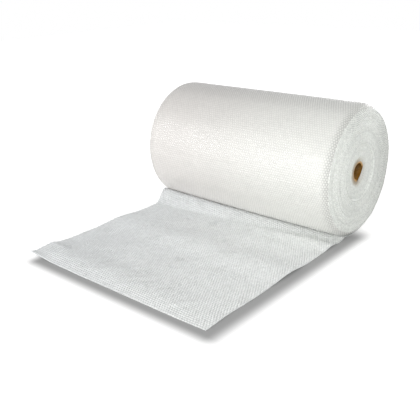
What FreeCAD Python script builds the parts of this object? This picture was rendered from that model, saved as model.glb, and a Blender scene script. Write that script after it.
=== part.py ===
"""A roll of small-bubble wrap lying on the floor, with its loose end pulled out in front.

The object has two pieces. The web is one length of bubble film: most of it is wound on the core,
and the rest is a tail that leaves the roll at its foot and lies on the floor. The core is a plain
cardboard tube inside the innermost turn.

Frame, in millimetres: the origin is on the floor, under the middle of the core. +X runs along the
core, +Y runs from the tail towards the back of the roll, and +Z is up.
"""

import FreeCAD, Part
import math
import os

from FreeCAD import Vector

# Driving sizes of the web and of the roll
WEB_WIDTH = 1000.0
WEB_THICKNESS = 4.0
ROLL_RADIUS = 298.0
FLAT_SPOT_DEPTH = 3.0

# Rows of bubbles, which run along the core: pressed flat in the roll, and full height in the tail
ROW_PITCH = 10.5
ROW_RELIEF = 1.2
TAIL_ROW_RELIEF = 3.0

# Core tube
CORE_BORE_RADIUS = 38.0
CORE_WALL = 8.0
CORE_STAND_OUT = 1.0
CORE_CLEARANCE = 0.2

# Ends of the roll: turns that have wandered out, a rounded shoulder, a sunk disc and the turns
TURN_WANDER = 14.0
SHOULDER_RADIUS = 36.0
SHOULDER_SWELL = 1.0
HUB_RADIUS = 124.0
HUB_SINK = 12.0
FIRST_TURN_GAP = 6.0
TURN_PITCH = 30.0
TURN_WIDTH = 15.0
TURN_RELIEF = 2.5

# Tail: its cut end, and how high each edge climbs the roll before it falls to the floor
TAIL_REACH = 1045.0
CLIMB = {"left": 58.0, "right": 8.0}
FALL_LENGTH = {"left": 92.0, "right": 40.0}

# Points on the fall: how far along its length, and the share of the climb still left there
FALL_SHAPE = ((0.2, 1.07), (0.5, 0.67))

# Low waves across the tail: distance of the crest from the core, half length, and height at each edge
TAIL_WAVES = (
    {"reach": 200.0, "half_length": 70.0, "left": 0.0, "right": 8.0},
    {"reach": 530.0, "half_length": 140.0, "left": 10.0, "right": 9.0},
    {"reach": 960.0, "half_length": 120.0, "left": 12.0, "right": 1.0},
)
WAVE_STEP = 35.0

# Sizes worked out from those above
HALF_WIDTH = WEB_WIDTH / 2
ROLL_END = HALF_WIDTH + TURN_WANDER
AXIS_HEIGHT = ROLL_RADIUS - FLAT_SPOT_DEPTH
FRONT_RADIUS = ROLL_RADIUS - WEB_THICKNESS / 2
FRONT_HEIGHT = AXIS_HEIGHT + WEB_THICKNESS / 2
CORE_OUTER_RADIUS = CORE_BORE_RADIUS + CORE_WALL
CORE_LENGTH = WEB_WIDTH + 2 * CORE_STAND_OUT
WOUND_BORE_RADIUS = CORE_OUTER_RADIUS + CORE_CLEARANCE
ALONG_CORE = Vector(1, 0, 0)


def in_section(x, height_centre, radius, angle):
    """A point of a circle in the plane across the core, with the angle counted up from +Y."""
    return Vector(x, radius * math.cos(angle), height_centre + radius * math.sin(angle))


def half_turn(x, height_centre, radius, side):
    """The half circle on the back (side 1) or the front (side -1) of the roll, bottom to top."""
    bottom, middle, top = (
        in_section(x, height_centre, radius, angle)
        for angle in (-math.pi / 2, 0.0 if side > 0 else math.pi, math.pi / 2)
    )
    return Part.Arc(bottom, middle, top).toShape()


def line(start, end):
    """A straight edge."""
    return Part.LineSegment(start, end).toShape()


def disc(x, radius):
    """A round face across the core."""
    edge = Part.Edge(Part.Circle(Vector(x, 0, AXIS_HEIGHT), ALONG_CORE, radius))
    return Part.Face(Part.Wire([edge]))


def bubble_rows(valleys, relief):
    """A ridge for each row of bubbles, from valley to valley, on the left of their way."""
    points = [valleys[0]]
    for start, end in zip(valleys, valleys[1:]):
        outward = ALONG_CORE.cross(end - start).normalize()
        points += [(start + end) * 0.5 + outward * relief, end]
    return [line(start, end) for start, end in zip(points, points[1:])]


def ridged_outline(x):
    """The outside of the roll with its rows of bubbles."""
    halves = ((AXIS_HEIGHT, ROLL_RADIUS, -math.pi / 2), (FRONT_HEIGHT, FRONT_RADIUS, math.pi / 2))
    valleys = []
    for height_centre, radius, start in halves:
        rows = round(math.pi * radius / ROW_PITCH)
        for row in range(len(valleys) > 0, rows + 1):
            angle = start + math.pi * row / rows
            valleys.append(in_section(x, height_centre, radius - ROW_RELIEF, angle))
    return Part.Wire(bubble_rows(valleys, ROW_RELIEF) + [line(valleys[-1], valleys[0])])


def turn_strip(x):
    """The turns that show at an end of the roll, as one strip wound outwards from the core."""
    first_radius = WOUND_BORE_RADIUS + FIRST_TURN_GAP
    room = ROLL_RADIUS - SHOULDER_RADIUS - first_radius - TURN_WIDTH
    turns = int(room / TURN_PITCH)
    edges = []
    for turn in range(turns):
        inner_radius = first_radius + TURN_PITCH * turn
        for radius in (inner_radius, inner_radius + TURN_WIDTH):
            edges.append(half_turn(x, AXIS_HEIGHT, radius, 1))
            edges.append(half_turn(x, AXIS_HEIGHT - TURN_PITCH / 2, radius + TURN_PITCH / 2, -1))
    for inner_radius in (first_radius, first_radius + TURN_PITCH * turns):
        heights = [AXIS_HEIGHT - inner_radius, AXIS_HEIGHT - inner_radius - TURN_WIDTH]
        edges.append(line(*(Vector(x, 0, height) for height in heights)))
    return Part.Face(Part.Wire(Part.__sortEdges__(edges)))


def half_drum(side, height_centre, radius, turn):
    """The back or the front half of one rounded end of the roll, turned about its own axis."""
    start, end = side * (ROLL_END - SHOULDER_RADIUS), side * ROLL_END
    centre = Vector(start, 0, height_centre + radius - SHOULDER_RADIUS)
    lean = SHOULDER_RADIUS * math.sqrt(0.5)
    on_side = centre + Vector(0, 0, SHOULDER_RADIUS)
    on_end = centre + Vector(side * SHOULDER_RADIUS, 0, 0)
    rounding = Part.Arc(on_side, centre + Vector(side * lean, 0, lean), on_end).toShape()
    inner, outer = Vector(start, 0, height_centre), Vector(end, 0, height_centre)
    profile = Part.Wire([line(inner, on_side), rounding, line(on_end, outer), line(outer, inner)])
    return Part.Face(profile).revolve(Vector(0, 0, height_centre), ALONG_CORE, turn)


def shoulder(side):
    """One rounded end of the roll, in the two half turns of the web."""
    back = half_drum(side, AXIS_HEIGHT, ROLL_RADIUS + SHOULDER_SWELL, -180)
    front = half_drum(side, FRONT_HEIGHT, FRONT_RADIUS + SHOULDER_SWELL, 180)
    return back.fuse(front)


def hub_hollow(side):
    """The space over the inner turns, which lie a little deeper than the outer ones."""
    return disc(side * ROLL_END, HUB_RADIUS).extrude(Vector(-side * HUB_SINK, 0, 0))


def proud_turns(side):
    """The turns that stand proud at one end of the roll, in the hub and outside it."""
    strip = turn_strip(side * ROLL_END)
    hub = disc(side * ROLL_END, HUB_RADIUS)
    in_hub = strip.common(hub)
    in_hub.translate(Vector(-side * HUB_SINK, 0, 0))
    relief = Vector(side * TURN_RELIEF, 0, 0)
    return [in_hub.extrude(relief), strip.cut(hub).extrude(relief)]


def wave_height(reach, edge):
    """How far the waves lift an edge of the tail at a distance from the core."""
    height = 0.0
    for wave in TAIL_WAVES:
        share = min(1.0, abs(reach - wave["reach"]) / wave["half_length"])
        height += wave[edge] * 0.5 * (1 + math.cos(math.pi * share))
    return height


def tail_underside(x, edge):
    """The underside of one edge of the tail: along the floor, up the roll, and down to the cut end."""
    lap_radius = FRONT_RADIUS + WEB_THICKNESS - ROW_RELIEF
    foot_angle = math.asin(FRONT_HEIGHT / lap_radius)
    leave_angle = math.asin((FRONT_HEIGHT - CLIMB[edge]) / lap_radius)
    foot, middle, leave = (
        in_section(x, FRONT_HEIGHT, lap_radius, math.pi + angle)
        for angle in (foot_angle, (foot_angle + leave_angle) / 2, leave_angle)
    )
    fall = FALL_LENGTH[edge]
    landing = -leave.y + fall
    steps = math.ceil((TAIL_REACH - landing) / WAVE_STEP)
    reaches = [landing + (TAIL_REACH - landing) * step / steps for step in range(steps + 1)]
    falling = [Vector(x, leave.y - fall * along, CLIMB[edge] * left) for along, left in FALL_SHAPE]
    lying = [Vector(x, -reach, wave_height(reach, edge)) for reach in reaches]
    loose = Part.BSplineCurve()
    loose.interpolate([leave] + falling + lying)
    lapped = Part.Arc(foot, middle, leave).toShape()
    return Part.Wire([line(Vector(x, 0, 0), foot), lapped, loose.toShape()])


def tail_section(x, edge, rows):
    """The closed outline of one edge of the tail: flat film below, rows of bubbles above."""
    under = [
        Vector(point.x, point.y, max(0.0, point.z))
        for point in tail_underside(x, edge).discretize(Number=rows + 1)
    ]
    ways = [under[min(row + 1, rows)] - under[max(row - 1, 0)] for row in range(rows + 1)]
    backing = WEB_THICKNESS - TAIL_ROW_RELIEF
    over = [point - ALONG_CORE.cross(way).normalize() * backing for point, way in zip(under, ways)]
    over.reverse()
    corners = under + over[:1]
    flat_and_cut_end = [line(start, end) for start, end in zip(corners, corners[1:])]
    rows_of_bubbles = bubble_rows(over, TAIL_ROW_RELIEF)
    return Part.Wire(flat_and_cut_end + rows_of_bubbles + [line(over[-1], under[0])])


def make_tail():
    """The loose end of the web, from under the core to its cut end."""
    rows = round(TAIL_REACH / ROW_PITCH)
    sections = [tail_section(-HALF_WIDTH, "left", rows), tail_section(HALF_WIDTH, "right", rows)]
    return Part.makeLoft(sections, True, True)


def make_wound_web():
    """The wound part of the web: ridged between its two shoulders, with the turns at both ends."""
    start = SHOULDER_RADIUS - ROLL_END
    middle = Part.Face(ridged_outline(start)).extrude(ALONG_CORE * -2 * start)
    drum = middle.fuse([shoulder(1), shoulder(-1)]).cut([hub_hollow(1), hub_hollow(-1)])
    return drum.fuse(proud_turns(1) + proud_turns(-1))


def make_web():
    """The bubble film: the wound roll and the tail, flat where it rests on the floor."""
    below = Part.makeBox(
        2 * WEB_WIDTH, 2 * ROLL_RADIUS, ROLL_RADIUS, Vector(-WEB_WIDTH, -ROLL_RADIUS, -ROLL_RADIUS)
    )
    bore = Part.makeCylinder(
        WOUND_BORE_RADIUS, 2 * WEB_WIDTH, Vector(-WEB_WIDTH, 0, AXIS_HEIGHT), ALONG_CORE
    )
    return make_wound_web().fuse(make_tail()).cut([below, bore]).removeSplitter()


def make_core():
    """The cardboard tube."""
    start = Vector(-CORE_LENGTH / 2, 0, AXIS_HEIGHT)
    outside = Part.makeCylinder(CORE_OUTER_RADIUS, CORE_LENGTH, start, ALONG_CORE)
    bore = Part.makeCylinder(CORE_BORE_RADIUS, CORE_LENGTH, start, ALONG_CORE)
    return outside.cut(bore)


def main():
    """Write each piece to a file of its own."""
    os.makedirs("parts", exist_ok=True)
    for name, shape in (("core_tube", make_core()), ("bubble_film", make_web())):
        shape.exportStep(f"parts/{name}.step")
        print(name, "solids", len(shape.Solids), "valid", shape.isValid(), "volume", round(shape.Volume))


main()
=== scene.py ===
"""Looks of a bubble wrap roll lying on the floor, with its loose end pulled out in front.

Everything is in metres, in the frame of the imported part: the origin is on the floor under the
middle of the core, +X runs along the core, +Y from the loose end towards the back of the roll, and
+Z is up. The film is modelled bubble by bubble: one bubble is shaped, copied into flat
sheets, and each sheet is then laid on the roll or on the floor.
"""

import logging
import math
from dataclasses import dataclass
from enum import Enum

import bmesh
import bpy
import numpy as np
from mathutils import Matrix, Vector

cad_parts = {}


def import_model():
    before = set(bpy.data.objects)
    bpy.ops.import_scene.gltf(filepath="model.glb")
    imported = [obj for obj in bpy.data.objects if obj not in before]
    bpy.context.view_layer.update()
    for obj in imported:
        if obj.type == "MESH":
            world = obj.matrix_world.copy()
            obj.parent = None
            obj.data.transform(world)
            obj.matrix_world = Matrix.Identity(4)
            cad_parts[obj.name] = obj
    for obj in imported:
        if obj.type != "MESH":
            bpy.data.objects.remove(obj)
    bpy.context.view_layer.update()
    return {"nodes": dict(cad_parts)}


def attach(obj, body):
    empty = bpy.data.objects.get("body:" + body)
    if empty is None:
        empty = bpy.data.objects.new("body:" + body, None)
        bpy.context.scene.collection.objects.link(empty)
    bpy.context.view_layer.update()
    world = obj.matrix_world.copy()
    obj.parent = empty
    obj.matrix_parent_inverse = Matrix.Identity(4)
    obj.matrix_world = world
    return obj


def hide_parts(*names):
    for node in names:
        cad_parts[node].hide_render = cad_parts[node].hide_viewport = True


LOG = logging.getLogger("bubble_wrap_roll")

Piece = bpy.types.Object
Triple = tuple[float, float, float]
WELD = 0.00002  # copies of a bubble closer than this are one vertex
HAIR = 1e-5  # distances below this count as nothing


class End(Enum):
    """The two ends of the roll, by the sign of their side of the frame."""

    NEAR = 1
    FAR = -1


# Handling of meshes


def deselect_all() -> None:
    """Leave edit mode and clear the selection."""
    if bpy.context.object is not None and bpy.context.object.mode != "OBJECT":
        bpy.ops.object.mode_set(mode="OBJECT")
    bpy.ops.object.select_all(action="DESELECT")


def make_active(piece: Piece) -> None:
    """Select one object and nothing else."""
    deselect_all()
    piece.select_set(True)
    bpy.context.view_layer.objects.active = piece


def points_of(piece: Piece) -> np.ndarray:
    """The vertices of a mesh, one row each."""
    flat = np.empty(len(piece.data.vertices) * 3)
    piece.data.vertices.foreach_get("co", flat)
    return flat.reshape(-1, 3)


def move_points(piece: Piece, points: np.ndarray) -> None:
    """Put the vertices of a mesh at new places."""
    piece.data.vertices.foreach_set("co", np.ascontiguousarray(points).ravel())
    piece.data.update()


def apply_array(piece: Piece, count: int, step: Triple) -> None:
    """Copy a mesh in a row, weld the copies to each other and apply the result.

    Args:
        piece: the mesh to repeat.
        count: how many there are in the end.
        step: the offset from one copy to the next.
    """
    make_active(piece)
    array = piece.modifiers.new("row", "ARRAY")
    array.count = count
    array.use_relative_offset = False
    array.use_constant_offset = True
    array.constant_offset_displace = step
    array.use_merge_vertices = True
    array.merge_threshold = WELD
    bpy.ops.object.modifier_apply(modifier=array.name)


def select_border(piece: Piece, axis: int, place: float) -> None:
    """Select the open edges of the active mesh that lie in one plane, and leave it in edit mode.

    Args:
        piece: the mesh, already active and in edit mode.
        axis: 0, 1 or 2, the axis that the plane is square to.
        place: where the plane is on that axis.
    """
    bpy.ops.mesh.select_all(action="DESELECT")
    bpy.ops.mesh.select_mode(type="EDGE")
    mesh = bmesh.from_edit_mesh(piece.data)
    for edge in mesh.edges:
        if edge.is_boundary and all(abs(v.co[axis] - place) < HAIR for v in edge.verts):
            edge.select_set(True)
    bmesh.update_edit_mesh(piece.data)


def smooth_steps(value: np.ndarray, low: float, high: float) -> np.ndarray:
    """Ease from 0 at low to 1 at high."""
    share = np.clip((value - low) / (high - low), 0.0, 1.0)
    return share * share * (3.0 - 2.0 * share)


def natural_spline(knots: np.ndarray, points: np.ndarray, wanted: np.ndarray) -> np.ndarray:
    """Points of the natural cubic spline that passes through given points.

    Args:
        knots: the parameter at each given point, rising.
        points: the given points, one row each.
        wanted: the parameters to evaluate.

    Returns:
        The spline's points, one row for each wanted parameter.
    """
    gaps = np.diff(knots)
    count = len(knots)
    system = np.eye(count)
    right = np.zeros((count, points.shape[1]))
    for i in range(1, count - 1):
        system[i, i - 1 : i + 2] = gaps[i - 1], 2 * (gaps[i - 1] + gaps[i]), gaps[i]
        slopes = np.diff(points[i - 1 : i + 2], axis=0) / gaps[i - 1 : i + 1, None]
        right[i] = 6 * (slopes[1] - slopes[0])
    bends = np.linalg.solve(system, right)
    k = np.clip(np.searchsorted(knots, wanted) - 1, 0, count - 2)
    gap = gaps[k][:, None]
    before = (wanted - knots[k])[:, None]
    after = gap - before
    return (
        (bends[k] * after**3 + bends[k + 1] * before**3) / (6 * gap)
        + (points[k] / gap - bends[k] * gap / 6) * after
        + (points[k + 1] / gap - bends[k + 1] * gap / 6) * before
    )


def waves_of(seed: int, count: int, along: np.ndarray, shortest: float, longest: float) -> np.ndarray:
    """A sum of sine waves of mixed lengths along a line, between about -1 and 1.

    Args:
        seed: which mix it is.
        count: how many waves there are.
        along: the place on the line.
        shortest: the shortest wave.
        longest: the longest wave.

    Returns:
        The height of the sum at each place.
    """
    mix = np.random.default_rng(seed)
    total = np.zeros_like(along)
    for length in mix.uniform(shortest, longest, count):
        total += mix.uniform(0.4, 1.0) * np.sin(2 * math.pi * (along / length + mix.uniform(0, 1)))
    return total / (0.8 * count)


# Shapes of the roll and of its loose end


@dataclass
class RollShape:
    """The sizes of the roll and of its loose end, and the surfaces that follow from them."""

    half_width: float = 0.500
    roll_end: float = 0.514
    roll_radius: float = 0.298
    axis_height: float = 0.295
    web_thickness: float = 0.004
    shoulder_radius: float = 0.036
    hub_radius: float = 0.124
    bore_radius: float = 0.0462
    tail_reach: float = 1.045
    lap_gap: float = 0.0028
    climb: tuple[float, float] = (0.058, 0.008)
    fall: tuple[float, float] = (0.092, 0.040)
    crest: tuple[float, float] = (1.17, 0.95)
    fall_shape: tuple[tuple[float, float], ...] = ((0.2, 1.0), (0.5, 0.67))
    floor_points: int = 12
    lap_points: int = 60
    loose_points: int = 900
    lying_step: float = 0.035
    waves: tuple[tuple[float, float, float, float], ...] = (
        (0.200, 0.070, 0.000, 0.008),
        (0.530, 0.140, 0.010, 0.009),
        (0.960, 0.120, 0.012, 0.001),
    )

    @property
    def front_radius(self) -> float:
        """Radius of the front half turn, which is a web thickness shorter across."""
        return self.roll_radius - self.web_thickness / 2

    @property
    def front_height(self) -> float:
        """Height of the middle of the front half turn."""
        return self.axis_height + self.web_thickness / 2

    def around(self, angle: np.ndarray, radius: np.ndarray) -> tuple[np.ndarray, np.ndarray]:
        """A point of the winding, which is made of two half turns of slightly different size.

        Args:
            angle: the angle from +Y towards +Z, in radians.
            radius: the distance from the middle of the back half turn.

        Returns:
            The y and z of the point.
        """
        share = np.clip((radius - self.bore_radius) / (self.roll_radius - self.bore_radius), 0, 1)
        step = np.where(np.cos(angle) < 0, share * self.web_thickness / 2, 0.0)
        height = self.axis_height + step + (radius - step) * np.sin(angle)
        return (radius - step) * np.cos(angle), np.maximum(height, 0.0)

    def wave_height(self, reach: np.ndarray, share: float) -> np.ndarray:
        """How far the waves lift the loose end, at a distance from the core."""
        height = np.zeros_like(reach)
        for middle, half, left, right in self.waves:
            away = np.minimum(1.0, np.abs(reach - middle) / half)
            height += (left + (right - left) * share) * 0.5 * (1 + np.cos(math.pi * away))
        return height

    def tail_line(self, share: float, steps: int) -> tuple[np.ndarray, float]:
        """The underside of the loose end along one line, from under the core to the cut end.

        Args:
            share: where the line is across the film, from 0 at the left edge to 1 at the right one.
            steps: how many equal steps it is divided into.

        Returns:
            The reach and height of its points, and its length.
        """
        lap = self.front_radius + self.lap_gap
        climb = self.climb[0] + (self.climb[1] - self.climb[0]) * share
        fall = self.fall[0] + (self.fall[1] - self.fall[0]) * share
        foot = math.asin(self.front_height / lap)
        leave = math.asin((self.front_height - climb) / lap)
        under = np.linspace(0, lap * math.cos(foot), self.floor_points)
        floor = np.column_stack([under, np.zeros_like(under)])
        turn = np.linspace(foot, leave, self.lap_points)
        lapped = np.column_stack([lap * np.cos(turn), self.front_height - lap * np.sin(turn)])
        start = lapped[-1]
        landing = start[0] + fall
        steps_lying = math.ceil((self.tail_reach - landing) / self.lying_step)
        reach = np.linspace(landing, self.tail_reach, steps_lying + 1)
        crest = self.crest[0] + (self.crest[1] - self.crest[0]) * share
        falling = [(start[0] + fall * a, climb * (b * crest)) for a, b in self.fall_shape]
        lying = np.column_stack([reach, self.wave_height(reach, share)])
        given = np.vstack([start, falling, lying])
        knots = np.concatenate([[0], np.cumsum(np.linalg.norm(np.diff(given, axis=0), axis=1))])
        loose = natural_spline(knots, given, np.linspace(0, knots[-1], self.loose_points)[1:])
        line = np.vstack([floor, lapped[1:], loose])
        line[:, 1] = np.maximum(line[:, 1], 0.0)
        run = np.concatenate([[0], np.cumsum(np.linalg.norm(np.diff(line, axis=0), axis=1))])
        even = np.linspace(0, run[-1], steps + 1)
        return np.column_stack([np.interp(even, run, line[:, k]) for k in (0, 1)]), float(run[-1])


# Bubbles


@dataclass
class BubbleSheet:
    """A flat closed sheet of film with rows of bubbles on it: across is x, along is y, up is z."""

    name: str
    columns: int
    rows: int
    pitch: float
    row_pitch: float
    bubble_height: float
    crown: float
    backing: float
    rim: float = 0.00062
    under_cuts: int = 0
    slack_bubbles: float = 0.0

    @property
    def half_width(self) -> float:
        """Half the width of the sheet."""
        return self.columns * self.pitch / 2

    @property
    def length(self) -> float:
        """The length of the sheet."""
        return self.rows * self.row_pitch

    def shape_bubble(self) -> Piece:
        """Shape one bubble on its six-sided bit of web.

        Returns:
            The bubble, with its middle at the origin.
        """
        deselect_all()
        bpy.ops.mesh.primitive_circle_add(vertices=6, radius=1.0, fill_type="NGON")
        bubble = bpy.context.object
        bubble.name = self.name
        bubble.scale = (self.pitch / 2 / math.cos(math.pi / 6), self.row_pitch * 2 / 3, 1.0)
        bpy.ops.object.transform_apply(location=False, rotation=False, scale=True)
        bpy.ops.object.mode_set(mode="EDIT")
        bpy.ops.mesh.select_all(action="SELECT")
        bpy.ops.mesh.inset(thickness=self.rim, use_even_offset=True)
        bpy.ops.mesh.extrude_region_move(
            TRANSFORM_OT_translate={"value": (0.0, 0.0, self.bubble_height)}
        )
        bpy.ops.transform.resize(
            value=(self.crown, self.crown, 1.0), center_override=(0.0, 0.0, self.bubble_height)
        )
        bpy.ops.object.mode_set(mode="OBJECT")
        return bubble

    def lay_rows(self) -> Piece:
        """Copy the bubble into staggered rows and trim them to a straight-edged sheet.

        Returns:
            The open sheet, with its first edge at y 0.
        """
        first = self.shape_bubble()
        first.location = (-self.half_width, -self.row_pitch / 2, 0.0)
        bpy.ops.object.transform_apply(location=True, rotation=False, scale=False)
        second = first.copy()
        second.data = first.data.copy()
        bpy.context.collection.objects.link(second)
        second.location = (self.pitch / 2, self.row_pitch, 0.0)
        make_active(first)
        second.select_set(True)
        bpy.ops.object.join()
        sheet = first
        apply_array(sheet, self.columns + 1, (self.pitch, 0.0, 0.0))
        apply_array(sheet, self.rows // 2 + 1, (0.0, 2 * self.row_pitch, 0.0))
        make_active(sheet)
        bpy.ops.object.mode_set(mode="EDIT")
        bpy.ops.mesh.select_all(action="SELECT")
        bpy.ops.mesh.remove_doubles(threshold=WELD)
        cuts = (
            ((-self.half_width, 0, 0), (-1, 0, 0)),
            ((self.half_width, 0, 0), (1, 0, 0)),
            ((0, 0, 0), (0, -1, 0)),
            ((0, self.length, 0), (0, 1, 0)),
        )
        for place, way in cuts:
            bpy.ops.mesh.select_all(action="SELECT")
            bpy.ops.mesh.bisect(plane_co=place, plane_no=way, clear_outer=True, threshold=1e-6)
        bpy.ops.object.mode_set(mode="OBJECT")
        return sheet

    def close(self, sheet: Piece) -> None:
        """Give the open sheet its cut edges, its flat underside and its end walls.

        Args:
            sheet: the open sheet.
        """
        make_active(sheet)
        bpy.ops.object.mode_set(mode="EDIT")
        for side in (-1, 1):
            select_border(sheet, 0, side * self.half_width)
            bpy.ops.mesh.extrude_edges_move(
                TRANSFORM_OT_translate={"value": (0.0, 0.0, -self.backing)}
            )
            bpy.ops.transform.resize(value=(1, 1, 0), center_override=(0, 0, -self.backing))
        bpy.ops.mesh.select_all(action="DESELECT")
        mesh = bmesh.from_edit_mesh(sheet.data)
        for edge in mesh.edges:
            if edge.is_boundary and all(abs(v.co.z + self.backing) < 1e-6 for v in edge.verts):
                if abs(edge.verts[0].co.x - edge.verts[1].co.x) < 1e-6:
                    edge.select_set(True)
        bmesh.update_edit_mesh(sheet.data)
        bpy.ops.mesh.bridge_edge_loops(number_cuts=self.under_cuts)
        bpy.ops.mesh.select_all(action="DESELECT")
        bpy.ops.mesh.select_non_manifold(extend=False)
        bpy.ops.mesh.fill_holes(sides=0)
        bpy.ops.mesh.select_all(action="SELECT")
        bpy.ops.mesh.normals_make_consistent(inside=False)
        bpy.ops.mesh.faces_shade_smooth()
        bpy.ops.mesh.select_all(action="DESELECT")
        mesh = bmesh.from_edit_mesh(sheet.data)
        for edge in mesh.edges:
            if len(edge.link_faces) == 2:
                flat, other = (abs(face.normal.z) < 0.05 for face in edge.link_faces)
                edge.select_set(flat != other)
        bmesh.update_edit_mesh(sheet.data)
        bpy.ops.mesh.mark_sharp()
        bpy.ops.object.mode_set(mode="OBJECT")

    def slacken(self, sheet: Piece) -> None:
        """Leave some bubbles lower than others, and note each vertex's height and its bubble's tone.

        Args:
            sheet: the closed flat sheet.
        """
        points = points_of(sheet)
        lift = np.clip(points[:, 2] / self.bubble_height, 0.0, 1.0)
        note = sheet.data.attributes.new("lift", "FLOAT", "POINT")
        note.data.foreach_set("value", lift.astype(np.float32))
        row = np.floor(points[:, 1] / self.row_pitch + 1e-4).astype(int)
        column = np.rint((points[:, 0] + self.half_width) / self.pitch - 0.5 * (row % 2)).astype(int)
        mix = np.random.default_rng(len(self.name) + 7 * self.columns)
        size = (self.rows + 3, self.columns + 3)
        slack = mix.random(size) ** 3 * self.slack_bubbles
        sway = mix.normal(0.0, 0.35 * self.slack_bubbles * self.bubble_height, (2, *size))
        cell = (np.clip(row + 1, 0, size[0] - 1), np.clip(column + 1, 0, size[1] - 1))
        grain = sheet.data.attributes.new("grain", "FLOAT", "POINT")
        grain.data.foreach_set("value", mix.random(size)[cell].astype(np.float32))
        inside = (np.abs(points[:, 0]) < self.half_width - HAIR) & (lift > 0)
        inside &= (points[:, 1] > HAIR) & (points[:, 1] < self.length - HAIR)
        points[:, 2] = np.where(inside, points[:, 2] * (1 - slack[cell]), points[:, 2])
        for axis in (0, 1):
            points[:, axis] += np.where(inside, sway[axis][cell], 0.0)
        move_points(sheet, points)

    def build(self) -> Piece:
        """Make the flat closed sheet.

        Returns:
            The sheet.
        """
        sheet = self.lay_rows()
        self.close(sheet)
        self.slacken(sheet)
        return sheet


@dataclass
class RollSkin:
    """The outside turn of the roll, in four quarter turns that wrap over both shoulders."""

    shape: RollShape
    columns: int = 92
    rows: int = 44
    pitch: float = 1.0 / 88
    flat_half: float = 0.478
    sunk: float = 0.0004
    slack_height: float = 0.0006
    turn_height: float = 0.0012
    bubble_height: float = 0.0013
    crown: float = 0.60
    backing: float = 0.0008
    slack_bubbles: float = 0.30
    quarters: tuple[tuple[str, float, float], ...] = (
        ("film_front_low", 270.0, 180.0),
        ("film_front_high", 180.0, 90.0),
        ("film_back_high", 90.0, 0.0),
        ("film_back_low", 0.0, -90.0),
    )

    def lay(self, sheet: Piece, start: float, stop: float, length: float) -> None:
        """Wrap a flat sheet round the roll.

        Args:
            sheet: the flat sheet, whose vertices are moved.
            start: the angle of its first edge, in degrees.
            stop: the angle of its last edge, in degrees.
            length: the flat length of the sheet.
        """
        across, along, lift = points_of(sheet).T
        # Rounding must not carry an edge at 270 degrees over to the other half turn.
        along = np.clip(along, 0.0, length)
        angle = np.radians(start + (stop - start) * along / length)
        side = np.sign(across)
        corner = self.shape.shoulder_radius
        over = np.maximum(np.abs(across) - self.flat_half, 0.0) / corner
        slack = waves_of(11, 7, across, 0.05, 0.21) * np.sin(3 * angle + 1.0)
        slack += waves_of(12, 9, angle * 0.3, 0.03, 0.16)
        turns = waves_of(13, 9, angle * 0.3, 0.05, 0.4) * smooth_steps(np.abs(across), 0.40, 0.50)
        lift = lift - self.sunk + self.slack_height * slack + self.turn_height * turns
        x = np.where(over > 0, self.flat_half + (corner + lift) * np.sin(over), np.abs(across))
        radius = self.shape.roll_radius - corner + (corner + lift) * np.cos(over)
        y, z = self.shape.around(angle, radius)
        move_points(sheet, np.column_stack([side * x, y, z]))

    def build(self) -> list[Piece]:
        """Make the four quarter turns.

        Returns:
            The pieces, from the foot over the front and the back.
        """
        row_pitch = math.pi / 2 * self.shape.roll_radius / self.rows
        pieces = []
        for name, start, stop in self.quarters:
            sheet = BubbleSheet(
                name,
                self.columns,
                self.rows,
                self.pitch,
                row_pitch,
                self.bubble_height,
                self.crown,
                self.backing,
                slack_bubbles=self.slack_bubbles,
            )
            piece = sheet.build()
            self.lay(piece, start, stop, sheet.length)
            pieces.append(piece)
        return pieces


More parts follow.
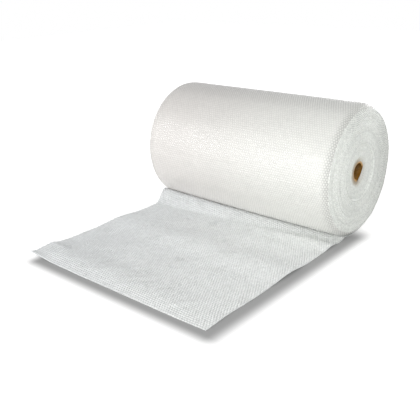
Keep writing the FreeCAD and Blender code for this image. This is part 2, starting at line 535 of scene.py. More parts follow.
@dataclass
class LooseEnd:
    """The film pulled off the roll, which laps up its foot, falls to the floor and lies in waves."""

    shape: RollShape
    columns: int = 88
    rows: int = 52
    pitch: float = 1.0 / 88
    bubble_height: float = 0.0032
    backing: float = 0.0007
    parts: tuple[str, str] = ("film_tail_inner", "film_tail_outer")
    crown: float = 0.66
    under_cuts: int = 24
    slack_bubbles: float = 0.60
    steps: int = 1400
    lanes: int = 24
    edge_wander: float = 0.006
    wrinkle_level: float = 0.0034
    wrinkle_low: float = 0.0070
    wrinkle_fine: tuple[float, float] = (0.0030, 0.0042)

    def wrinkles(self, across: np.ndarray, reach: np.ndarray) -> np.ndarray:
        """How far small creases lift the middle of the film off its smooth waves."""
        slant = across * 0.78 + reach * 0.62
        other = across * 0.35 - reach * 0.94
        low = waves_of(31, 8, slant, 0.10, 0.34) * (0.6 + waves_of(32, 5, other, 0.25, 0.7))
        fine = waves_of(33, 12, slant + 0.1 * other, 0.035, 0.09)
        fine = fine * waves_of(34, 6, other, 0.15, 0.5)
        near_corner = smooth_steps(reach, 0.55, 0.95)
        inside = 1 - smooth_steps(np.abs(across), 0.36, self.shape.half_width)
        started = smooth_steps(reach, 0.24, 0.42) * (1 - smooth_steps(reach, 0.98, 1.045))
        fine_height = self.wrinkle_fine[0] + self.wrinkle_fine[1] * near_corner
        lift = self.wrinkle_level + self.wrinkle_low * low + fine_height * fine
        return np.maximum(lift, 0.0) * inside * started

    def edge_lift(self, reach: np.ndarray, side: int) -> np.ndarray:
        """How far small waves lift one edge of the film off the floor."""
        lift = 0.0035 * np.maximum(waves_of(41 + side, 7, reach, 0.06, 0.22), 0.0)
        if side == 0:
            lift = lift + 0.006 * np.exp(-(((reach - 0.930) / 0.020) ** 2))
            lift = lift + 0.010 * smooth_steps(reach, 1.015, 1.045)
        return lift * smooth_steps(reach, 0.22, 0.40)

    def lay(self, sheet: Piece, before: float, whole: float) -> None:
        """Lay a flat sheet along the tail.

        Args:
            sheet: the flat sheet, whose vertices are moved.
            before: the length of film between the core and the sheet's first edge.
            whole: the flat length of the whole tail.
        """
        across, along, lift = points_of(sheet).T
        across = -across
        along = along + before
        steps, lanes = self.steps, self.lanes
        shares = [lane / lanes for lane in range(lanes + 1)]
        lines = np.array([self.shape.tail_line(share, steps)[0] for share in shares])
        place = np.clip(along / whole, 0.0, 1.0) * steps
        share = np.clip(across / (2 * self.shape.half_width) + 0.5, 0.0, 1.0)
        lane = np.minimum((share * lanes).astype(int), lanes - 1)
        beside = share * lanes - lane

        def at(where: np.ndarray, column: int) -> np.ndarray:
            """One coordinate of the surface."""
            where = np.clip(where, 0.0, steps - 1e-9)
            step = where.astype(int)
            on = where - step
            left, right = (
                lines[line, step, column] * (1 - on) + lines[line, step + 1, column] * on
                for line in (lane, lane + 1)
            )
            return left * (1 - beside) + right * beside

        reach, height = at(place, 0), at(place, 1)
        way_out, way_up = (at(place + 2, k) - at(place - 2, k) for k in (0, 1))
        run = np.hypot(way_out, way_up)
        way_out, way_up = way_out / run, way_up / run
        height = height + self.edge_lift(reach, 0) * (1 - smooth_steps(share, 0.0, 0.17))
        height = height + self.edge_lift(reach, 1) * smooth_steps(share, 0.83, 1.0)
        crease = np.where(lift < -1e-6, 0.0, self.wrinkles(across, reach))  # not on the underside
        thick = self.backing + 0.0002 + lift
        y = -(reach - way_up * thick)
        z = height + way_out * thick + crease
        side = np.abs(across) / self.shape.half_width
        wander = np.where(
            across < 0, waves_of(35, 6, reach, 0.12, 0.5), waves_of(36, 6, reach, 0.15, 0.6)
        )
        x = across + self.edge_wander * wander * side**3 * smooth_steps(reach, 0.2, 0.4)
        cut = 0.004 * waves_of(37, 6, across, 0.15, 0.6) * smooth_steps(reach, 0.9, 1.045)
        move_points(sheet, np.column_stack([x, y + cut, np.maximum(z, 0.0)]))

    def build(self) -> list[Piece]:
        """Make the two lengths of the loose end.

        Returns:
            The pieces, from the roll outwards.
        """
        whole = sum(self.shape.tail_line(share, 400)[1] for share in (0.0, 1.0)) / 2
        row_pitch = whole / (2 * self.rows)
        pieces = []
        for number, name in enumerate(self.parts):
            sheet = BubbleSheet(
                name,
                self.columns,
                self.rows,
                self.pitch,
                row_pitch,
                self.bubble_height,
                self.crown,
                self.backing,
                under_cuts=self.under_cuts,
                slack_bubbles=self.slack_bubbles,
            )
            piece = sheet.build()
            self.lay(piece, number * sheet.length, whole)
            pieces.append(piece)
        return pieces


@dataclass
class WoundTurns:
    """The turns inside the roll, as they show at its two ends, with the bore for the core."""

    shape: RollShape
    turn: float = 0.0033
    steps: int = 360
    face_radius: float = 0.2747
    ridge: float = 0.0012
    deep: float = 0.5030
    lip_reach: float = 0.0205
    lip_turn: float = math.radians(-39)
    bubble_spacing: float = 0.0105
    turn_shift: float = 0.00060
    crumple: float = 0.00055
    bands: tuple[Triple, ...] = (
        (0.070, 0.006, 0.0014),
        (0.098, 0.005, -0.0014),
        (0.133, 0.003, 0.0016),
        (0.158, 0.008, 0.0014),
        (0.180, 0.005, -0.0022),
        (0.209, 0.009, 0.0014),
        (0.240, 0.006, -0.0022),
    )

    def face_line(self, radius: np.ndarray) -> np.ndarray:
        """How far out the end face lies, at a distance from the core's axis."""
        hub = self.shape.hub_radius
        rise = self.shape.roll_end - 0.0006 - self.deep
        out = self.deep + rise * smooth_steps(radius, hub - 0.004, hub + 0.004)
        middle = self.shape.roll_radius - self.shape.shoulder_radius
        beyond = np.clip(radius - middle, 0.0, self.shape.shoulder_radius)
        drop = self.shape.shoulder_radius - np.sqrt(self.shape.shoulder_radius**2 - beyond**2)
        for centre, half, swell in self.bands:
            out = out + swell * np.exp(-(((radius - centre) / half) ** 2))
        return out - drop

    @property
    def rings(self) -> int:
        """How many half turns show on an end face: a ridge and a valley for each turn."""
        return int(round((self.face_radius - self.shape.bore_radius) / self.turn)) * 2

    def profile(self) -> np.ndarray:
        """The closed outline that is spun round the axis: distance along the core and radius."""
        radius = np.linspace(self.shape.bore_radius, self.face_radius, self.rings + 1)
        face = np.column_stack([self.face_line(radius), radius])
        face[::2, 0] += self.ridge
        under = [(0.5085, 0.2765), (0.4990, 0.2860), (0.4780, 0.2925), (0.0, 0.2925)]
        bore = [(0.0, self.shape.bore_radius), (0.5013, self.shape.bore_radius)]
        return np.vstack([bore, face, under])

    def spin_profile(self, name: str) -> Piece:
        """Spin the outline round the core's axis.

        Args:
            name: the name of the piece.

        Returns:
            The near half of the wound film, true to a circle.
        """
        outline = self.profile()
        deselect_all()
        bpy.ops.mesh.primitive_circle_add(vertices=len(outline), radius=1.0, fill_type="NOTHING")
        piece = bpy.context.object
        piece.name = name
        along, radius = outline.T
        height = self.shape.axis_height + radius
        move_points(piece, np.column_stack([along, np.zeros_like(along), height]))
        bpy.ops.object.mode_set(mode="EDIT")
        bpy.ops.mesh.select_all(action="SELECT")
        bpy.ops.mesh.spin(
            steps=self.steps,
            angle=2 * math.pi,
            center=(0.0, 0.0, self.shape.axis_height),
            axis=(1.0, 0.0, 0.0),
        )
        bpy.ops.mesh.select_all(action="SELECT")
        bpy.ops.mesh.remove_doubles(threshold=HAIR)
        bpy.ops.mesh.normals_make_consistent(inside=False)
        bpy.ops.mesh.faces_shade_smooth()
        bpy.ops.object.mode_set(mode="OBJECT")
        return piece

    def loosen(self, piece: Piece, end: End) -> None:
        """Make the turns uneven, scalloped by their bubbles, and slack round the core.

        Args:
            piece: the spun half of the wound film.
            end: which end of the roll it is.
        """
        x, y, z = points_of(piece).T
        radius = np.hypot(y, z - self.shape.axis_height)
        angle = np.arctan2(z - self.shape.axis_height, y)
        on_face = (x > 0.5015) | ((x > 0.49) & (radius > 0.25))
        step = (self.face_radius - self.shape.bore_radius) / self.rings
        most = 400
        ring = np.clip(np.rint((radius - self.shape.bore_radius) / step).astype(int), 0, most)
        mix = np.random.default_rng(51 if end is End.NEAR else 52)
        shift = mix.normal(0, self.turn_shift, most + 1)
        phase = mix.uniform(0, 2 * math.pi, most + 1)
        slow = mix.uniform(0, 2 * math.pi, most + 1)
        bubbles = np.maximum(np.rint(2 * math.pi * radius / self.bubble_spacing), 6)
        scallop = np.cos(bubbles * angle + phase[ring // 2])
        uneven = 0.0005 * np.sin(2 * angle + 0.05 * ring + slow[0])
        uneven += 0.0004 * np.sin(5 * angle - 0.09 * ring + slow[1])
        uneven += 0.0003 * np.sin(11 * angle + 0.31 * ring + slow[2])
        valley = (ring % 2) == 1
        sectors = self.steps // 2
        sector = np.rint((angle + math.pi) * self.steps / (4 * math.pi)).astype(int) % sectors
        crumple = mix.normal(0, self.crumple, (most // 4 + 1, sectors))[ring // 4, sector]
        scalloped = np.where(valley, 0.0009 * scallop, 0.0003 * scallop)
        rise = shift[ring // 2] + uneven + scalloped + crumple
        inner = smooth_steps(radius, self.shape.bore_radius, 0.056)
        x = x + np.where(on_face, rise * (0.3 + 0.7 * inner), 0.0)
        sway = 0.0005 * scallop * inner * np.where(valley, 0.2, 1.0)
        if end is End.NEAR:
            off = (angle - self.lip_turn + math.pi) % (2 * math.pi) - math.pi
            reach = self.lip_reach / np.maximum(np.cos(off), 0.2)
            pull = np.maximum(self.shape.bore_radius - reach, 0.0)
            sway = sway - pull * (1 - smooth_steps(radius, self.shape.bore_radius, 0.078))
            x = x + np.where(on_face, 0.10 * pull * (1 - smooth_steps(radius, 0.05, 0.085)), 0.0)
        radius = radius + np.where(on_face, sway, 0.0)
        y, z = self.shape.around(angle, radius)
        move_points(piece, np.column_stack([x * end.value, y, z]))
        if end is End.FAR:
            make_active(piece)
            bpy.ops.object.mode_set(mode="EDIT")
            bpy.ops.mesh.select_all(action="SELECT")
            bpy.ops.mesh.flip_normals()
            bpy.ops.object.mode_set(mode="OBJECT")

    def build(self) -> list[Piece]:
        """Make the two halves of the wound film.

        Returns:
            The near half and the far half.
        """
        pieces = []
        for name, end in (("film_turns_near", End.NEAR), ("film_turns_far", End.FAR)):
            piece = self.spin_profile(name)
            self.loosen(piece, end)
            pieces.append(piece)
        return pieces


@dataclass
class Core:
    """The cardboard tube inside the first turn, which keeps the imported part's own shape."""

    tube: Piece

    def dress(self, finish: "KraftFinish") -> Piece:
        """Give the tube its cardboard.

        Args:
            finish: the cardboard.

        Returns:
            The dressed tube.
        """
        give_finish(self.tube, finish.make())
        return self.tube


def give_finish(piece: Piece, material: bpy.types.Material) -> None:
    """Put one material in a piece's first slot and drop any others."""
    if not piece.data.materials:
        piece.data.materials.append(material)
    for slot in range(len(piece.data.materials)):
        piece.data.materials[slot] = material


# Finishes


Socket = bpy.types.NodeSocket
Colour = tuple[float, float, float, float]
WHITE: Colour = (1.0, 1.0, 1.0, 1.0)
ORIGIN: Triple = (0.0, 0.0, 0.0)
AS_IS: Triple = (1.0, 1.0, 1.0)


@dataclass
class Wiring:
    """A node tree that is being wired up."""

    tree: bpy.types.NodeTree

    def add(self, kind: str, **settings: object) -> bpy.types.Node:
        """Add a node and set its properties."""
        node = self.tree.nodes.new(kind)
        for name, value in settings.items():
            setattr(node, name, value)
        return node

    def feed(self, socket: Socket, value: object) -> None:
        """Link an output to an input, or set the input to a constant."""
        if isinstance(value, Socket):
            self.tree.links.new(value, socket)
        elif value is not None:
            socket.default_value = value

    def fill(self, node: bpy.types.Node, values: dict[str, object]) -> None:
        """Feed several of a node's inputs by name."""
        for label, value in values.items():
            self.feed(node.inputs[label], value)

    def sum(self, how: str, *values: object) -> Socket:
        """One step of arithmetic."""
        node = self.add("ShaderNodeMath", operation=how)
        for socket, value in zip(node.inputs, values):
            self.feed(socket, value)
        return node.outputs[0]

    def times(self, first: object, *others: object) -> Socket:
        """The product of all the values, from left to right."""
        for value in others:
            first = self.sum("MULTIPLY", first, value)
        return first

    def plus(self, first: object, second: object) -> Socket:
        """The sum of two values."""
        return self.sum("ADD", first, second)

    def less(self, first: object, second: object) -> Socket:
        """The first value less the second."""
        return self.sum("SUBTRACT", first, second)

    def away(self, value: object, centre: object) -> Socket:
        """How far a value is from a centre, on either side."""
        return self.sum("ABSOLUTE", self.less(value, centre))

    def distance(self, first: object, second: object) -> Socket:
        """The length of a vector with these two parts."""
        squares = (self.sum("POWER", part, 2.0) for part in (first, second))
        return self.sum("SQRT", self.plus(*squares))

    def ramp(
        self, value: object, low: float, high: float, start: object = 0.0, stop: object = 1.0
    ) -> Socket:
        """Ease a value from start to stop as it goes from low to high."""
        node = self.add("ShaderNodeMapRange", interpolation_type="SMOOTHSTEP")
        for socket, given in zip(node.inputs, (value, low, high, start, stop)):
            self.feed(socket, given)
        return node.outputs[0]

    def blend(self, share: object, first: object, second: object, how: str = "MIX") -> Socket:
        """Mix two colours."""
        node = self.add("ShaderNodeMix", data_type="RGBA", blend_type=how)
        for socket, value in zip((0, 6, 7), (share, first, second)):
            self.feed(node.inputs[socket], value)
        return node.outputs[2]

    def brighten(self, colour: Socket, level: Socket) -> Socket:
        """A colour with all its parts multiplied by one level."""
        node = self.add("ShaderNodeVectorMath", operation="SCALE")
        self.feed(node.inputs[0], colour)
        self.feed(node.inputs["Scale"], level)
        return node.outputs[0]

    def noise(self, where: Socket, scale: float, detail: float, roughness: float) -> Socket:
        """A cloudy pattern between 0 and 1."""
        node = self.add("ShaderNodeTexNoise")
        values = {"Vector": where, "Scale": scale, "Detail": detail, "Roughness": roughness}
        self.fill(node, values)
        return node.outputs["Fac"]

    def placed(self, centre: Triple = ORIGIN, scale: Triple = AS_IS) -> Socket:
        """Object coordinates measured from a centre and stretched."""
        mapping = self.add("ShaderNodeMapping", vector_type="POINT")
        self.feed(mapping.inputs["Vector"], self.add("ShaderNodeTexCoord").outputs["Object"])
        mapping.inputs["Location"].default_value = tuple(-c * s for c, s in zip(centre, scale))
        mapping.inputs["Scale"].default_value = scale
        return mapping.outputs["Vector"]

    def parts(self, vector: Socket) -> list[Socket]:
        """The x, y and z of a vector."""
        node = self.add("ShaderNodeSeparateXYZ")
        self.feed(node.inputs[0], vector)
        return list(node.outputs)

    def bump(self, shader: bpy.types.Node, height: Socket, strength: float, depth: float) -> None:
        """Roughen a shader's surface by a height pattern."""
        node = self.add("ShaderNodeBump")
        self.fill(node, {"Strength": strength, "Distance": depth, "Height": height})
        self.feed(shader.inputs["Normal"], node.outputs["Normal"])

    def seen(self) -> Socket:
        """1 for rays that show the stage itself, and 0 for rays that only light the object."""
        rays = self.add("ShaderNodeLightPath").outputs
        seen = self.sum("MAXIMUM", rays["Is Camera Ray"], rays["Is Glossy Ray"])
        return self.sum("MAXIMUM", seen, rays["Is Transmission Ray"])


def new_group(
    name: str, inputs: dict[str, object], outputs: dict[str, str]
) -> tuple[Wiring, bpy.types.NodeOutputs, bpy.types.Node]:
    """Start a node group with named inputs and outputs.

    Args:
        name: the group's name.
        inputs: each input's name and default: a number or a colour.
        outputs: each output's name and socket type.

    Returns:
        The group's wiring, the values that it is given, and its output node.
    """
    tree = bpy.data.node_groups.new(name, "ShaderNodeTree")
    for label, value in inputs.items():
        kind = "NodeSocketFloat" if isinstance(value, float) else "NodeSocketColor"
        socket = tree.interface.new_socket(name=label, in_out="INPUT", socket_type=kind)
        socket.default_value = value
    for label, kind in outputs.items():
        tree.interface.new_socket(name=label, in_out="OUTPUT", socket_type=kind)
    wiring = Wiring(tree)
    return wiring, wiring.add("NodeGroupInput").outputs, wiring.add("NodeGroupOutput")


def film_tone_group() -> bpy.types.NodeTree:
    """The tone of the film: painted shade and light colour that change along the core, darker towards
    the left end, with cloudy patches and fine mottling.

    Returns:
        The node group, made once.
    """
    if "film_tone" in bpy.data.node_groups:
        return bpy.data.node_groups["film_tone"]
    wiring, given, made = new_group(
        "film_tone",
        {
            "Left Painted Shading": WHITE,
            "Right Painted Shading": WHITE,
            "Web": (0.8, 0.8, 0.8, 1.0),
            "Crown": (0.9, 0.9, 0.9, 1.0),
            "Lift": 0.0,
            "Clouds": 0.05,
            "Mottle": 0.05,
            "Grain": 0.5,
            "Speckle": 0.1,
        },
        {"Color": "NodeSocketColor", "Patches": "NodeSocketFloat"},
    )
    place = wiring.placed()
    # Painted shade and light colour: the film is darker towards the left end and lighter towards the
    # right end, each end with its own cast.
    drift = wiring.ramp(wiring.parts(place)[0], -0.45, 0.45)
    painted_shading = wiring.blend(drift, given["Left Painted Shading"], given["Right Painted Shading"])
    film = wiring.blend(given["Lift"], given["Web"], given["Crown"])
    patches = wiring.noise(place, 7.0, 3.0, 0.55)
    mottling = wiring.noise(place, 95.0, 2.0, 0.6)
    cloud, speck, each = (
        wiring.times(wiring.less(pattern, 0.5), given[strength])
        for pattern, strength in (
            (patches, "Clouds"),
            (mottling, "Mottle"),
            (given["Grain"], "Speckle"),
        )
    )
    level = wiring.plus(wiring.plus(cloud, speck), wiring.plus(each, 1.0))
    colour = wiring.brighten(wiring.blend(1.0, film, painted_shading, "MULTIPLY"), level)
    wiring.fill(made, {"Color": colour, "Patches": patches})
    return wiring.tree


# Painted shade rings of the end faces, lighter or darker, the darkest a painted shadow line round the
# sunk hub: radius, half width, change of level
PAINTED_RING_SHADES = (
    (0.1310, 0.0040, -0.15),
    (0.1240, 0.0050, -0.10),
    (0.0980, 0.0060, -0.03),
    (0.1580, 0.0080, 0.03),
    (0.1800, 0.0080, -0.07),
    (0.2090, 0.0090, 0.03),
    (0.2400, 0.0080, -0.05),
)
# Pattern of the end faces: noise cells to a metre and round the axis, row spacing, spokes
RADIAL_CELLS, ROUND_CELLS, HATCH_ROWS, HATCH_SPOKES, HATCH_DEPTH = 150.0, 17.0, 0.0094, 112.0, 1.7


def turn_edges_group() -> bpy.types.NodeTree:
    """The cut edges of the wound turns: rings of film with rows of bubbles between them, with painted
    shade across the face and in rings, and a painted brown glow round the core.

    Returns:
        The node group, made once.
    """
    if "turn_edges" in bpy.data.node_groups:
        return bpy.data.node_groups["turn_edges"]
    labels = ("Film", "Bubbles", "Mottle", "Level", "Painted Core Glow")
    wiring, given, made = new_group(
        "turn_edges",
        {"Axis Height": 0.295, "Turn": 0.0033, "Bubble": 0.0105, "First Radius": 0.0462},
        {label: "NodeSocketFloat" for label in labels},
    )
    _, back, height = wiring.parts(wiring.placed())
    up = wiring.less(height, given["Axis Height"])
    radius = wiring.distance(back, up)
    angle = wiring.sum("ARCTAN2", up, back)
    turns = wiring.sum("DIVIDE", wiring.less(radius, given["First Radius"]), given["Turn"])
    ring = wiring.sum("ROUND", turns)
    film = wiring.ramp(wiring.away(turns, ring), 0.10, 0.30, 1.0, 0.0)
    shifted = wiring.sum("FRACT", wiring.times(ring, 0.618))
    run = wiring.sum("DIVIDE", wiring.times(angle, radius), given["Bubble"])
    wave = wiring.sum("SINE", wiring.times(wiring.plus(run, shifted), 2 * math.pi))
    polar = wiring.add("ShaderNodeCombineXYZ")
    wiring.feed(polar.inputs[0], wiring.times(radius, RADIAL_CELLS))
    for socket, part in zip(polar.inputs[1:], (back, up)):
        wiring.feed(socket, wiring.times(wiring.sum("DIVIDE", part, radius), ROUND_CELLS))
    mottle = wiring.ramp(wiring.noise(polar.outputs[0], 1.0, 2.0, 0.65), 0.32, 0.68)
    rows = wiring.sum("SINE", wiring.times(radius, 2 * math.pi / HATCH_ROWS))
    spokes = wiring.sum("SINE", wiring.times(angle, HATCH_SPOKES))
    outer = wiring.ramp(radius, 0.15, 0.24, 0.25, 1.0)
    corner = wiring.ramp(wiring.plus(back, up), -0.05, 0.22, 0.35, 1.0)
    hatch = wiring.times(wiring.times(rows, spokes, HATCH_DEPTH), wiring.times(outer, corner))
    # Painted light and shade: the end face is lighter towards the front and darker towards the back,
    # with the painted shade rings multiplied in.
    level = wiring.times(
        wiring.ramp(back, -0.25, -0.04, 1.10, 0.97), wiring.ramp(back, 0.04, 0.27, 1.0, 0.86)
    )
    for centre, half, change in PAINTED_RING_SHADES:
        tone = wiring.ramp(wiring.away(radius, centre), 0.0, half, 1.0 + change, 1.0)
        level = wiring.times(level, tone)
    # Painted light: a brown glow on the film round the core, strongest towards the front.
    glow = wiring.times(
        wiring.ramp(radius, 0.048, 0.074, 0.95, 0.0), wiring.ramp(back, -0.03, 0.03, 1.0, 0.25)
    )
    values = (film, wiring.ramp(wave, -0.6, 0.6), wiring.plus(mottle, hatch), level, glow)
    wiring.fill(made, dict(zip(labels, values)))
    return wiring.tree


def new_material(name: str) -> tuple[bpy.types.Material, Wiring, bpy.types.Node]:
    """Start a material with one principled shader.

    Args:
        name: the material's name.

    Returns:
        The material, its wiring and its shader.
    """
    material = bpy.data.materials.new(name)
    material.use_nodes = True
    wiring = Wiring(material.node_tree)
    return material, wiring, material.node_tree.nodes["Principled BSDF"]


@dataclass(frozen=True)
class FilmFinish:
    """Bubble film, as it looks on the outside of the roll, at the ends of its turns or laid out.

    The levels from far_shoulder to edge_contrast are painted light and shade, set by place on the
    object to match the photograph.
    """

    name: str
    web: Colour
    crown: Colour
    # Painted shade and light colour at the left and right ends of the core, blended along it.
    left_painted_shading: Colour
    right_painted_shading: Colour
    roughness: float
    rough_spread: float
    clouds: float
    mottle: float
    coat: float = 0.0
    coat_roughness: float = 0.2
    crinkle: float = 0.15
    speckle: float = 0.10
    far_shoulder: float = 1.0
    near_shoulder: float = 1.0
    fold_level: float = 1.0
    fold_slant: float = 0.154
    foot_level: float = 1.0
    top_levels: tuple[float, float] = (1.0, 1.0)
    edge_contrast: float = 0.0
    turns: bool = False
    # Colour of the painted brown glow on the end faces round the core.
    painted_core_glow: Colour = (0.36, 0.27, 0.17, 1.0)

    def painted_level(self, wiring: Wiring, lift: Socket) -> Socket:
        """How bright the film is painted by its place on the object.

        Args:
            wiring: the material's wiring.
            lift: 1 on the crown of a bubble and 0 between bubbles.

        Returns:
            The level that the colour is multiplied by.
        """
        across, along, up = wiring.parts(wiring.placed())
        fold = wiring.less(along, wiring.times(across, self.fold_slant))
        top = wiring.ramp(across, -0.30, 0.40, *self.top_levels)
        edges = wiring.sum(
            "MAXIMUM", wiring.ramp(across, 0.482, 0.508), wiring.ramp(across, -0.482, -0.508)
        )
        edges = wiring.sum("MAXIMUM", edges, wiring.ramp(up, 0.56, 0.592))
        hollow = wiring.times(wiring.less(1.0, lift), self.edge_contrast)
        return wiring.times(
            wiring.ramp(across, -0.455, -0.512, 1.0, self.far_shoulder),
            wiring.ramp(across, 0.470, 0.512, 1.0, self.near_shoulder),
            wiring.ramp(fold, -0.210, -0.170, 1.0, self.fold_level),
            wiring.ramp(up, 0.18, 0.06, 1.0, self.foot_level),
            wiring.ramp(up, 0.36, 0.58, 1.0, top),
            wiring.less(1.0, wiring.times(edges, hollow)),
        )

    def make(self) -> bpy.types.Material:
        """Wire the film.

        Returns:
            The material.
        """
        material, wiring, shader = new_material(self.name)
        tone = wiring.add("ShaderNodeGroup", node_tree=film_tone_group())
        colour = tone.outputs["Color"]
        creases = wiring.noise(wiring.placed(scale=(0.5, 1.0, 1.0)), 240.0, 3.0, 0.6)
        if self.turns:
            edges = wiring.add("ShaderNodeGroup", node_tree=turn_edges_group()).outputs
            lift = wiring.sum("MAXIMUM", edges["Film"], wiring.times(edges["Bubbles"], 0.75))
            grain = edges["Mottle"]
            # Painted shade across the end faces and in rings.
            colour = wiring.brighten(colour, edges["Level"])
            # Painted brown glow round the core.
            colour = wiring.blend(edges["Painted Core Glow"], colour, self.painted_core_glow)
            relief = wiring.plus(wiring.times(lift, 1.6), creases)
        else:
            height, grain = (
                wiring.add("ShaderNodeAttribute", attribute_name=name).outputs["Fac"]
                for name in ("lift", "grain")
            )
            lift = wiring.ramp(height, 0.50, 1.0)
            colour = wiring.brighten(colour, self.painted_level(wiring, lift))
            relief = creases
        wiring.fill(
            tone,
            {
                "Left Painted Shading": self.left_painted_shading,
                "Right Painted Shading": self.right_painted_shading,
                "Web": self.web,
                "Crown": self.crown,
                "Clouds": self.clouds,
                "Mottle": self.mottle,
                "Speckle": self.speckle,
                "Lift": lift,
                "Grain": grain,
            },
        )
        smooth, rough = self.roughness - self.rough_spread, self.roughness + self.rough_spread
        wiring.fill(
            shader,
            {
                "Base Color": colour,
                "Roughness": wiring.ramp(tone.outputs["Patches"], 0.3, 0.7, smooth, rough),
                "IOR": 1.5,
                "Coat Weight": self.coat,
                "Coat Roughness": self.coat_roughness,
            },
        )
        wiring.bump(shader, relief, self.crinkle, 0.0006)
        return material


@dataclass(frozen=True)
class KraftFinish:
    """Brown cardboard wound in a spiral, with its seams, fibres and rubbed ends.

    The inside is painted darker with depth and towards the top, to match the photograph.
    """

    name: str
    board: Colour
    dark: Colour
    rubbed: Colour
    seam: Colour
    lead: float = 0.16
    ply: float = 0.0009
    axis_height: float = 0.295
    half_length: float = 0.501

    def make(self) -> bpy.types.Material:
        """Wire the cardboard.

        Returns:
            The material.
        """
        material, wiring, shader = new_material(self.name)
        place = wiring.placed((0.0, 0.0, self.axis_height))
        along, out, up = wiring.parts(place)
        turn = wiring.sum("DIVIDE", wiring.sum("ARCTAN2", up, out), 2 * math.pi)
        spiral = wiring.plus(turn, wiring.sum("DIVIDE", along, self.lead))
        strip = wiring.away(wiring.sum("FRACT", spiral), 0.5)
        seam = wiring.ramp(strip, 0.0, 0.018, 1.0, 0.0)
        fibres = wiring.noise(wiring.placed(scale=(0.25, 1.0, 1.0)), 420.0, 4.0, 0.65)
        blotches = wiring.noise(place, 26.0, 3.0, 0.5)
        plies = wiring.times(wiring.distance(out, up), 2 * math.pi / self.ply)
        plies = wiring.sum("SINE", plies)
        from_middle = wiring.sum("ABSOLUTE", along)
        end = wiring.ramp(from_middle, self.half_length - 0.0012, self.half_length - 0.0002)
        board = wiring.blend(wiring.ramp(fibres, 0.35, 0.7), self.dark, self.board)
        board = wiring.blend(wiring.ramp(blotches, 0.4, 0.75, 0.0, 0.5), board, self.rubbed)
        board = wiring.blend(wiring.times(seam, 0.8), board, self.seam)
        pale = wiring.blend(wiring.ramp(plies, -0.5, 0.8, 0.0, 0.45), self.rubbed, self.board)
        mouth = (self.half_length - 0.056, self.half_length - 0.003)
        depth = wiring.times(
            wiring.ramp(from_middle, *mouth, 0.26, 1.0), wiring.ramp(up, -0.026, 0.034, 1.30, 0.40)
        )
        wiring.fill(
            shader,
            {
                "Base Color": wiring.blend(end, wiring.brighten(board, depth), pale),
                "Specular IOR Level": 0.2,
                "Roughness": wiring.ramp(fibres, 0.3, 0.7, 0.62, 0.85),
            },
        )
        relief = wiring.less(fibres, wiring.times(seam, 1.5))
        relief = wiring.plus(relief, wiring.times(plies, end, 0.8))
        wiring.bump(shader, relief, 0.35, 0.0004)
        return material


@dataclass(frozen=True)
class FloorFinish:
    """A white studio floor that shows white to the camera and keeps the object's shadow."""

    name: str
    paint: Colour
    glow: float
    shade_glow: float = 0.79
    shade_paint: float = 0.65
    shade_front: tuple[float, float] = (-1.134, -1.062)
    shade_back: tuple[float, float] = (-0.050, 0.100)
    shade_left: tuple[float, float] = (-0.49, -0.41)
    shade_right: tuple[float, float] = (0.524, 0.612)

    def make(self) -> bpy.types.Material:
        """Wire the floor, with painted soft shade to the front and right of the film.

        Returns:
            The material.
        """
        material, wiring, shader = new_material(self.name)
        across, along, _ = wiring.parts(wiring.placed())
        shade = wiring.times(
            wiring.ramp(across, *self.shade_left),
            wiring.ramp(across, *self.shade_right, 1.0, 0.0),
            wiring.ramp(along, *self.shade_front),
            wiring.ramp(along, *self.shade_back, 1.0, 0.0),
        )
        dark = tuple(part * (1 - self.shade_paint) for part in self.paint[:3]) + (1.0,)
        lit = wiring.less(1.0, wiring.times(shade, self.shade_glow))
        wiring.fill(
            shader,
            {
                "Base Color": wiring.blend(shade, self.paint, dark),
                "Roughness": 0.9,
                "Specular IOR Level": 0.1,
                "Emission Color": WHITE,
                "Emission Strength": wiring.times(wiring.seen(), self.glow, lit),
            },
        )
        return material


# Studio


@dataclass(frozen=True)
class SoftLamp:
    """A soft rectangular lamp that hangs some way from the roll and faces it."""

    name: str
    way: Triple
    distance: float
    size: tuple[float, float]
    power: float
    colour: Triple = (1.0, 1.0, 1.0)
    aim: Triple = (0.0, 0.0, 0.3)

    def hang(self) -> Piece:
        """Hang the lamp.

        Returns:
            The lamp.
        """
        way = Vector(self.way).normalized()
        data = bpy.data.lights.new(self.name, "AREA")
        data.shape = "RECTANGLE"
        data.size, data.size_y = self.size
        data.energy = self.power
        data.color = self.colour
        lamp = bpy.data.objects.new(self.name, data)
        bpy.context.collection.objects.link(lamp)
        lamp.location = Vector(self.aim) + way * self.distance
        lamp.rotation_euler = way.to_track_quat("Z", "Y").to_euler()
        return lamp


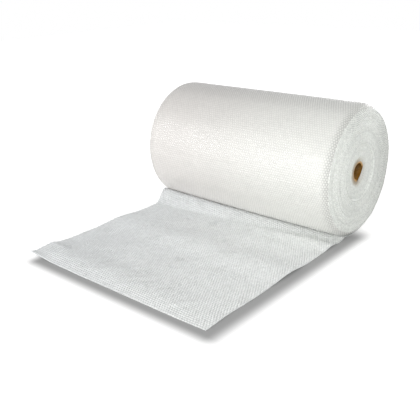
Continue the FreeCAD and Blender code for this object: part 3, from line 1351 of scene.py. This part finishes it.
@dataclass
class Studio:
    """The floor, the surroundings and the lamps."""

    floor_half: float = 9.0
    front_fill: float = 0.95
    back_fill: float = 0.26
    overhead: float = 0.80
    lamps: tuple[SoftLamp, ...] = (
        SoftLamp("band_lamp", (-0.57, -0.77, 0.325), 6.0, (3.0, 0.30), 36.0, (1.0, 0.985, 0.97)),
        SoftLamp("glint_lamp", (-0.46, -0.83, 0.400), 6.0, (1.0, 0.35), 18.0, (1.0, 0.99, 0.98)),
        SoftLamp("front_lamp", (0.06, -0.98, 0.10), 4.6, (3.2, 1.6), 54.0, (1.0, 0.99, 0.98)),
        SoftLamp("end_lamp", (0.93, -0.32, 0.20), 4.6, (2.4, 1.6), 36.0, (0.98, 1.0, 0.98)),
        SoftLamp("far_lamp", (-0.98, 0.10, 0.10), 4.6, (2.4, 1.6), 16.0),
        SoftLamp("back_lamp", (0.00, 0.99, 0.10), 4.6, (3.2, 1.6), 84.0),
    )

    def lay_floor(self) -> Piece:
        """Lay the floor just under the object."""
        deselect_all()
        bpy.ops.mesh.primitive_plane_add(size=2 * self.floor_half, location=(0.0, 0.0, -0.0003))
        floor = bpy.context.object
        floor.name = "studio_floor"
        bpy.ops.object.transform_apply(location=True, rotation=False, scale=False)
        give_finish(floor, FloorFinish("studio_floor_paint", (0.80, 0.80, 0.80, 1.0), 0.56).make())
        return floor

    def set_surroundings(self) -> None:
        """A soft room, lighter in front of the roll than behind it, which the camera sees as white."""
        world = bpy.data.worlds.new("studio_room")
        bpy.context.scene.world = world
        world.use_nodes = True
        wiring = Wiring(world.node_tree)
        background = world.node_tree.nodes["Background"]
        _, along, up = wiring.parts(wiring.add("ShaderNodeTexCoord").outputs["Generated"])
        level = wiring.times(
            wiring.ramp(along, -0.5, 0.8, self.front_fill, self.back_fill),
            wiring.ramp(up, 0.3, 1.0, 1.0, self.overhead),
        )
        strength = wiring.add("ShaderNodeMix", data_type="FLOAT")
        for socket, value in zip((0, 2, 3), (wiring.seen(), level, 1.0)):
            wiring.feed(strength.inputs[socket], value)
        wiring.fill(background, {"Strength": strength.outputs[0], "Color": WHITE})

    def build(self) -> None:
        """Set up the whole studio."""
        self.lay_floor()
        self.set_surroundings()
        for lamp in self.lamps:
            lamp.hang()


@dataclass
class PhotoCamera:
    """The camera, at the photograph's place and angle."""

    picture_width: int = 420
    focal_pixels: float = 621.954
    place: Triple = (1.70051068, -2.40191156, 1.13320345)
    forward: Triple = (-0.60774441, 0.70825725, -0.35919131)
    right: Triple = (0.76442177, 0.64430853, -0.02293172)
    up: Triple = (-0.21518847, 0.28851029, 0.93298217)

    def build(self) -> Piece:
        """Place the camera and make it the scene's own.

        Returns:
            The camera.
        """
        data = bpy.data.cameras.new("photo_camera")
        data.sensor_width = 36.0
        data.lens = self.focal_pixels / self.picture_width * data.sensor_width
        data.clip_start, data.clip_end = 0.05, 60.0
        camera = bpy.data.objects.new("photo_camera", data)
        bpy.context.collection.objects.link(camera)
        axes = Matrix((self.right, self.up, [-part for part in self.forward])).transposed()
        camera.matrix_world = Matrix.Translation(self.place) @ axes.to_4x4()
        bpy.context.scene.camera = camera
        return camera


ROLL_FILM = FilmFinish(
    name="wound_film",
    web=(0.725, 0.722, 0.708, 1.0),
    crown=(0.835, 0.832, 0.818, 1.0),
    left_painted_shading=(0.905, 0.880, 0.868, 1.0),
    right_painted_shading=(0.985, 0.995, 0.970, 1.0),
    roughness=0.48,
    rough_spread=0.06,
    clouds=0.08,
    mottle=0.04,
    coat=0.80,
    coat_roughness=0.11,
    crinkle=0.20,
    speckle=0.05,
    far_shoulder=0.86,
    near_shoulder=0.95,
    foot_level=1.15,
    top_levels=(0.83, 0.91),
    edge_contrast=0.20,
)
TURN_FILM = FilmFinish(
    name="wound_film_edges",
    web=(0.750, 0.765, 0.742, 1.0),
    crown=(0.930, 0.940, 0.920, 1.0),
    left_painted_shading=(1.0, 0.985, 0.975, 1.0),
    right_painted_shading=(0.990, 1.0, 0.978, 1.0),
    roughness=0.38,
    rough_spread=0.06,
    clouds=0.08,
    mottle=0.10,
    coat=0.4,
    crinkle=0.45,
    speckle=0.20,
    turns=True,
)
LOOSE_FILM = FilmFinish(
    name="loose_film",
    web=(0.855, 0.872, 0.875, 1.0),
    crown=(0.935, 0.947, 0.945, 1.0),
    left_painted_shading=(0.870, 0.880, 0.888, 1.0),
    right_painted_shading=(0.995, 1.0, 0.990, 1.0),
    roughness=0.34,
    rough_spread=0.08,
    clouds=0.12,
    mottle=0.08,
    coat=0.30,
    crinkle=0.35,
    speckle=0.12,
    fold_level=0.84,
)
CORE_BOARD = KraftFinish(
    name="core_board",
    board=(0.660, 0.340, 0.060, 1.0),
    dark=(0.360, 0.165, 0.022, 1.0),
    rubbed=(0.600, 0.400, 0.210, 1.0),
    seam=(0.120, 0.060, 0.025, 1.0),
)


def main() -> None:
    """Build the roll, its loose end, the core, the studio and the camera, in that order."""
    logging.basicConfig(level=logging.INFO, format="%(name)s: %(message)s")
    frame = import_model()
    bpy.context.scene.view_settings.view_transform = "Standard"
    for leftover in [o for o in bpy.data.objects if o.type in ("LIGHT", "CAMERA")]:
        bpy.data.objects.remove(leftover)
    shape = RollShape()
    film: list[Piece] = []
    for maker, finish in (
        (RollSkin(shape), ROLL_FILM),
        (LooseEnd(shape), LOOSE_FILM),
        (WoundTurns(shape), TURN_FILM),
    ):
        material = finish.make()
        for piece in maker.build():
            give_finish(piece, material)
            film.append(piece)
    for piece in film:
        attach(piece, "root")
        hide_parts("bubble_film")
        LOG.info("%s: %d faces", piece.name, len(piece.data.polygons))
    core = Core(frame["nodes"]["core_tube"]).dress(CORE_BOARD)
    LOG.info("%s: dressed in cardboard", core.name)
    Studio().build()
    PhotoCamera().build()
    deselect_all()


if __name__ == "__main__":
    main()
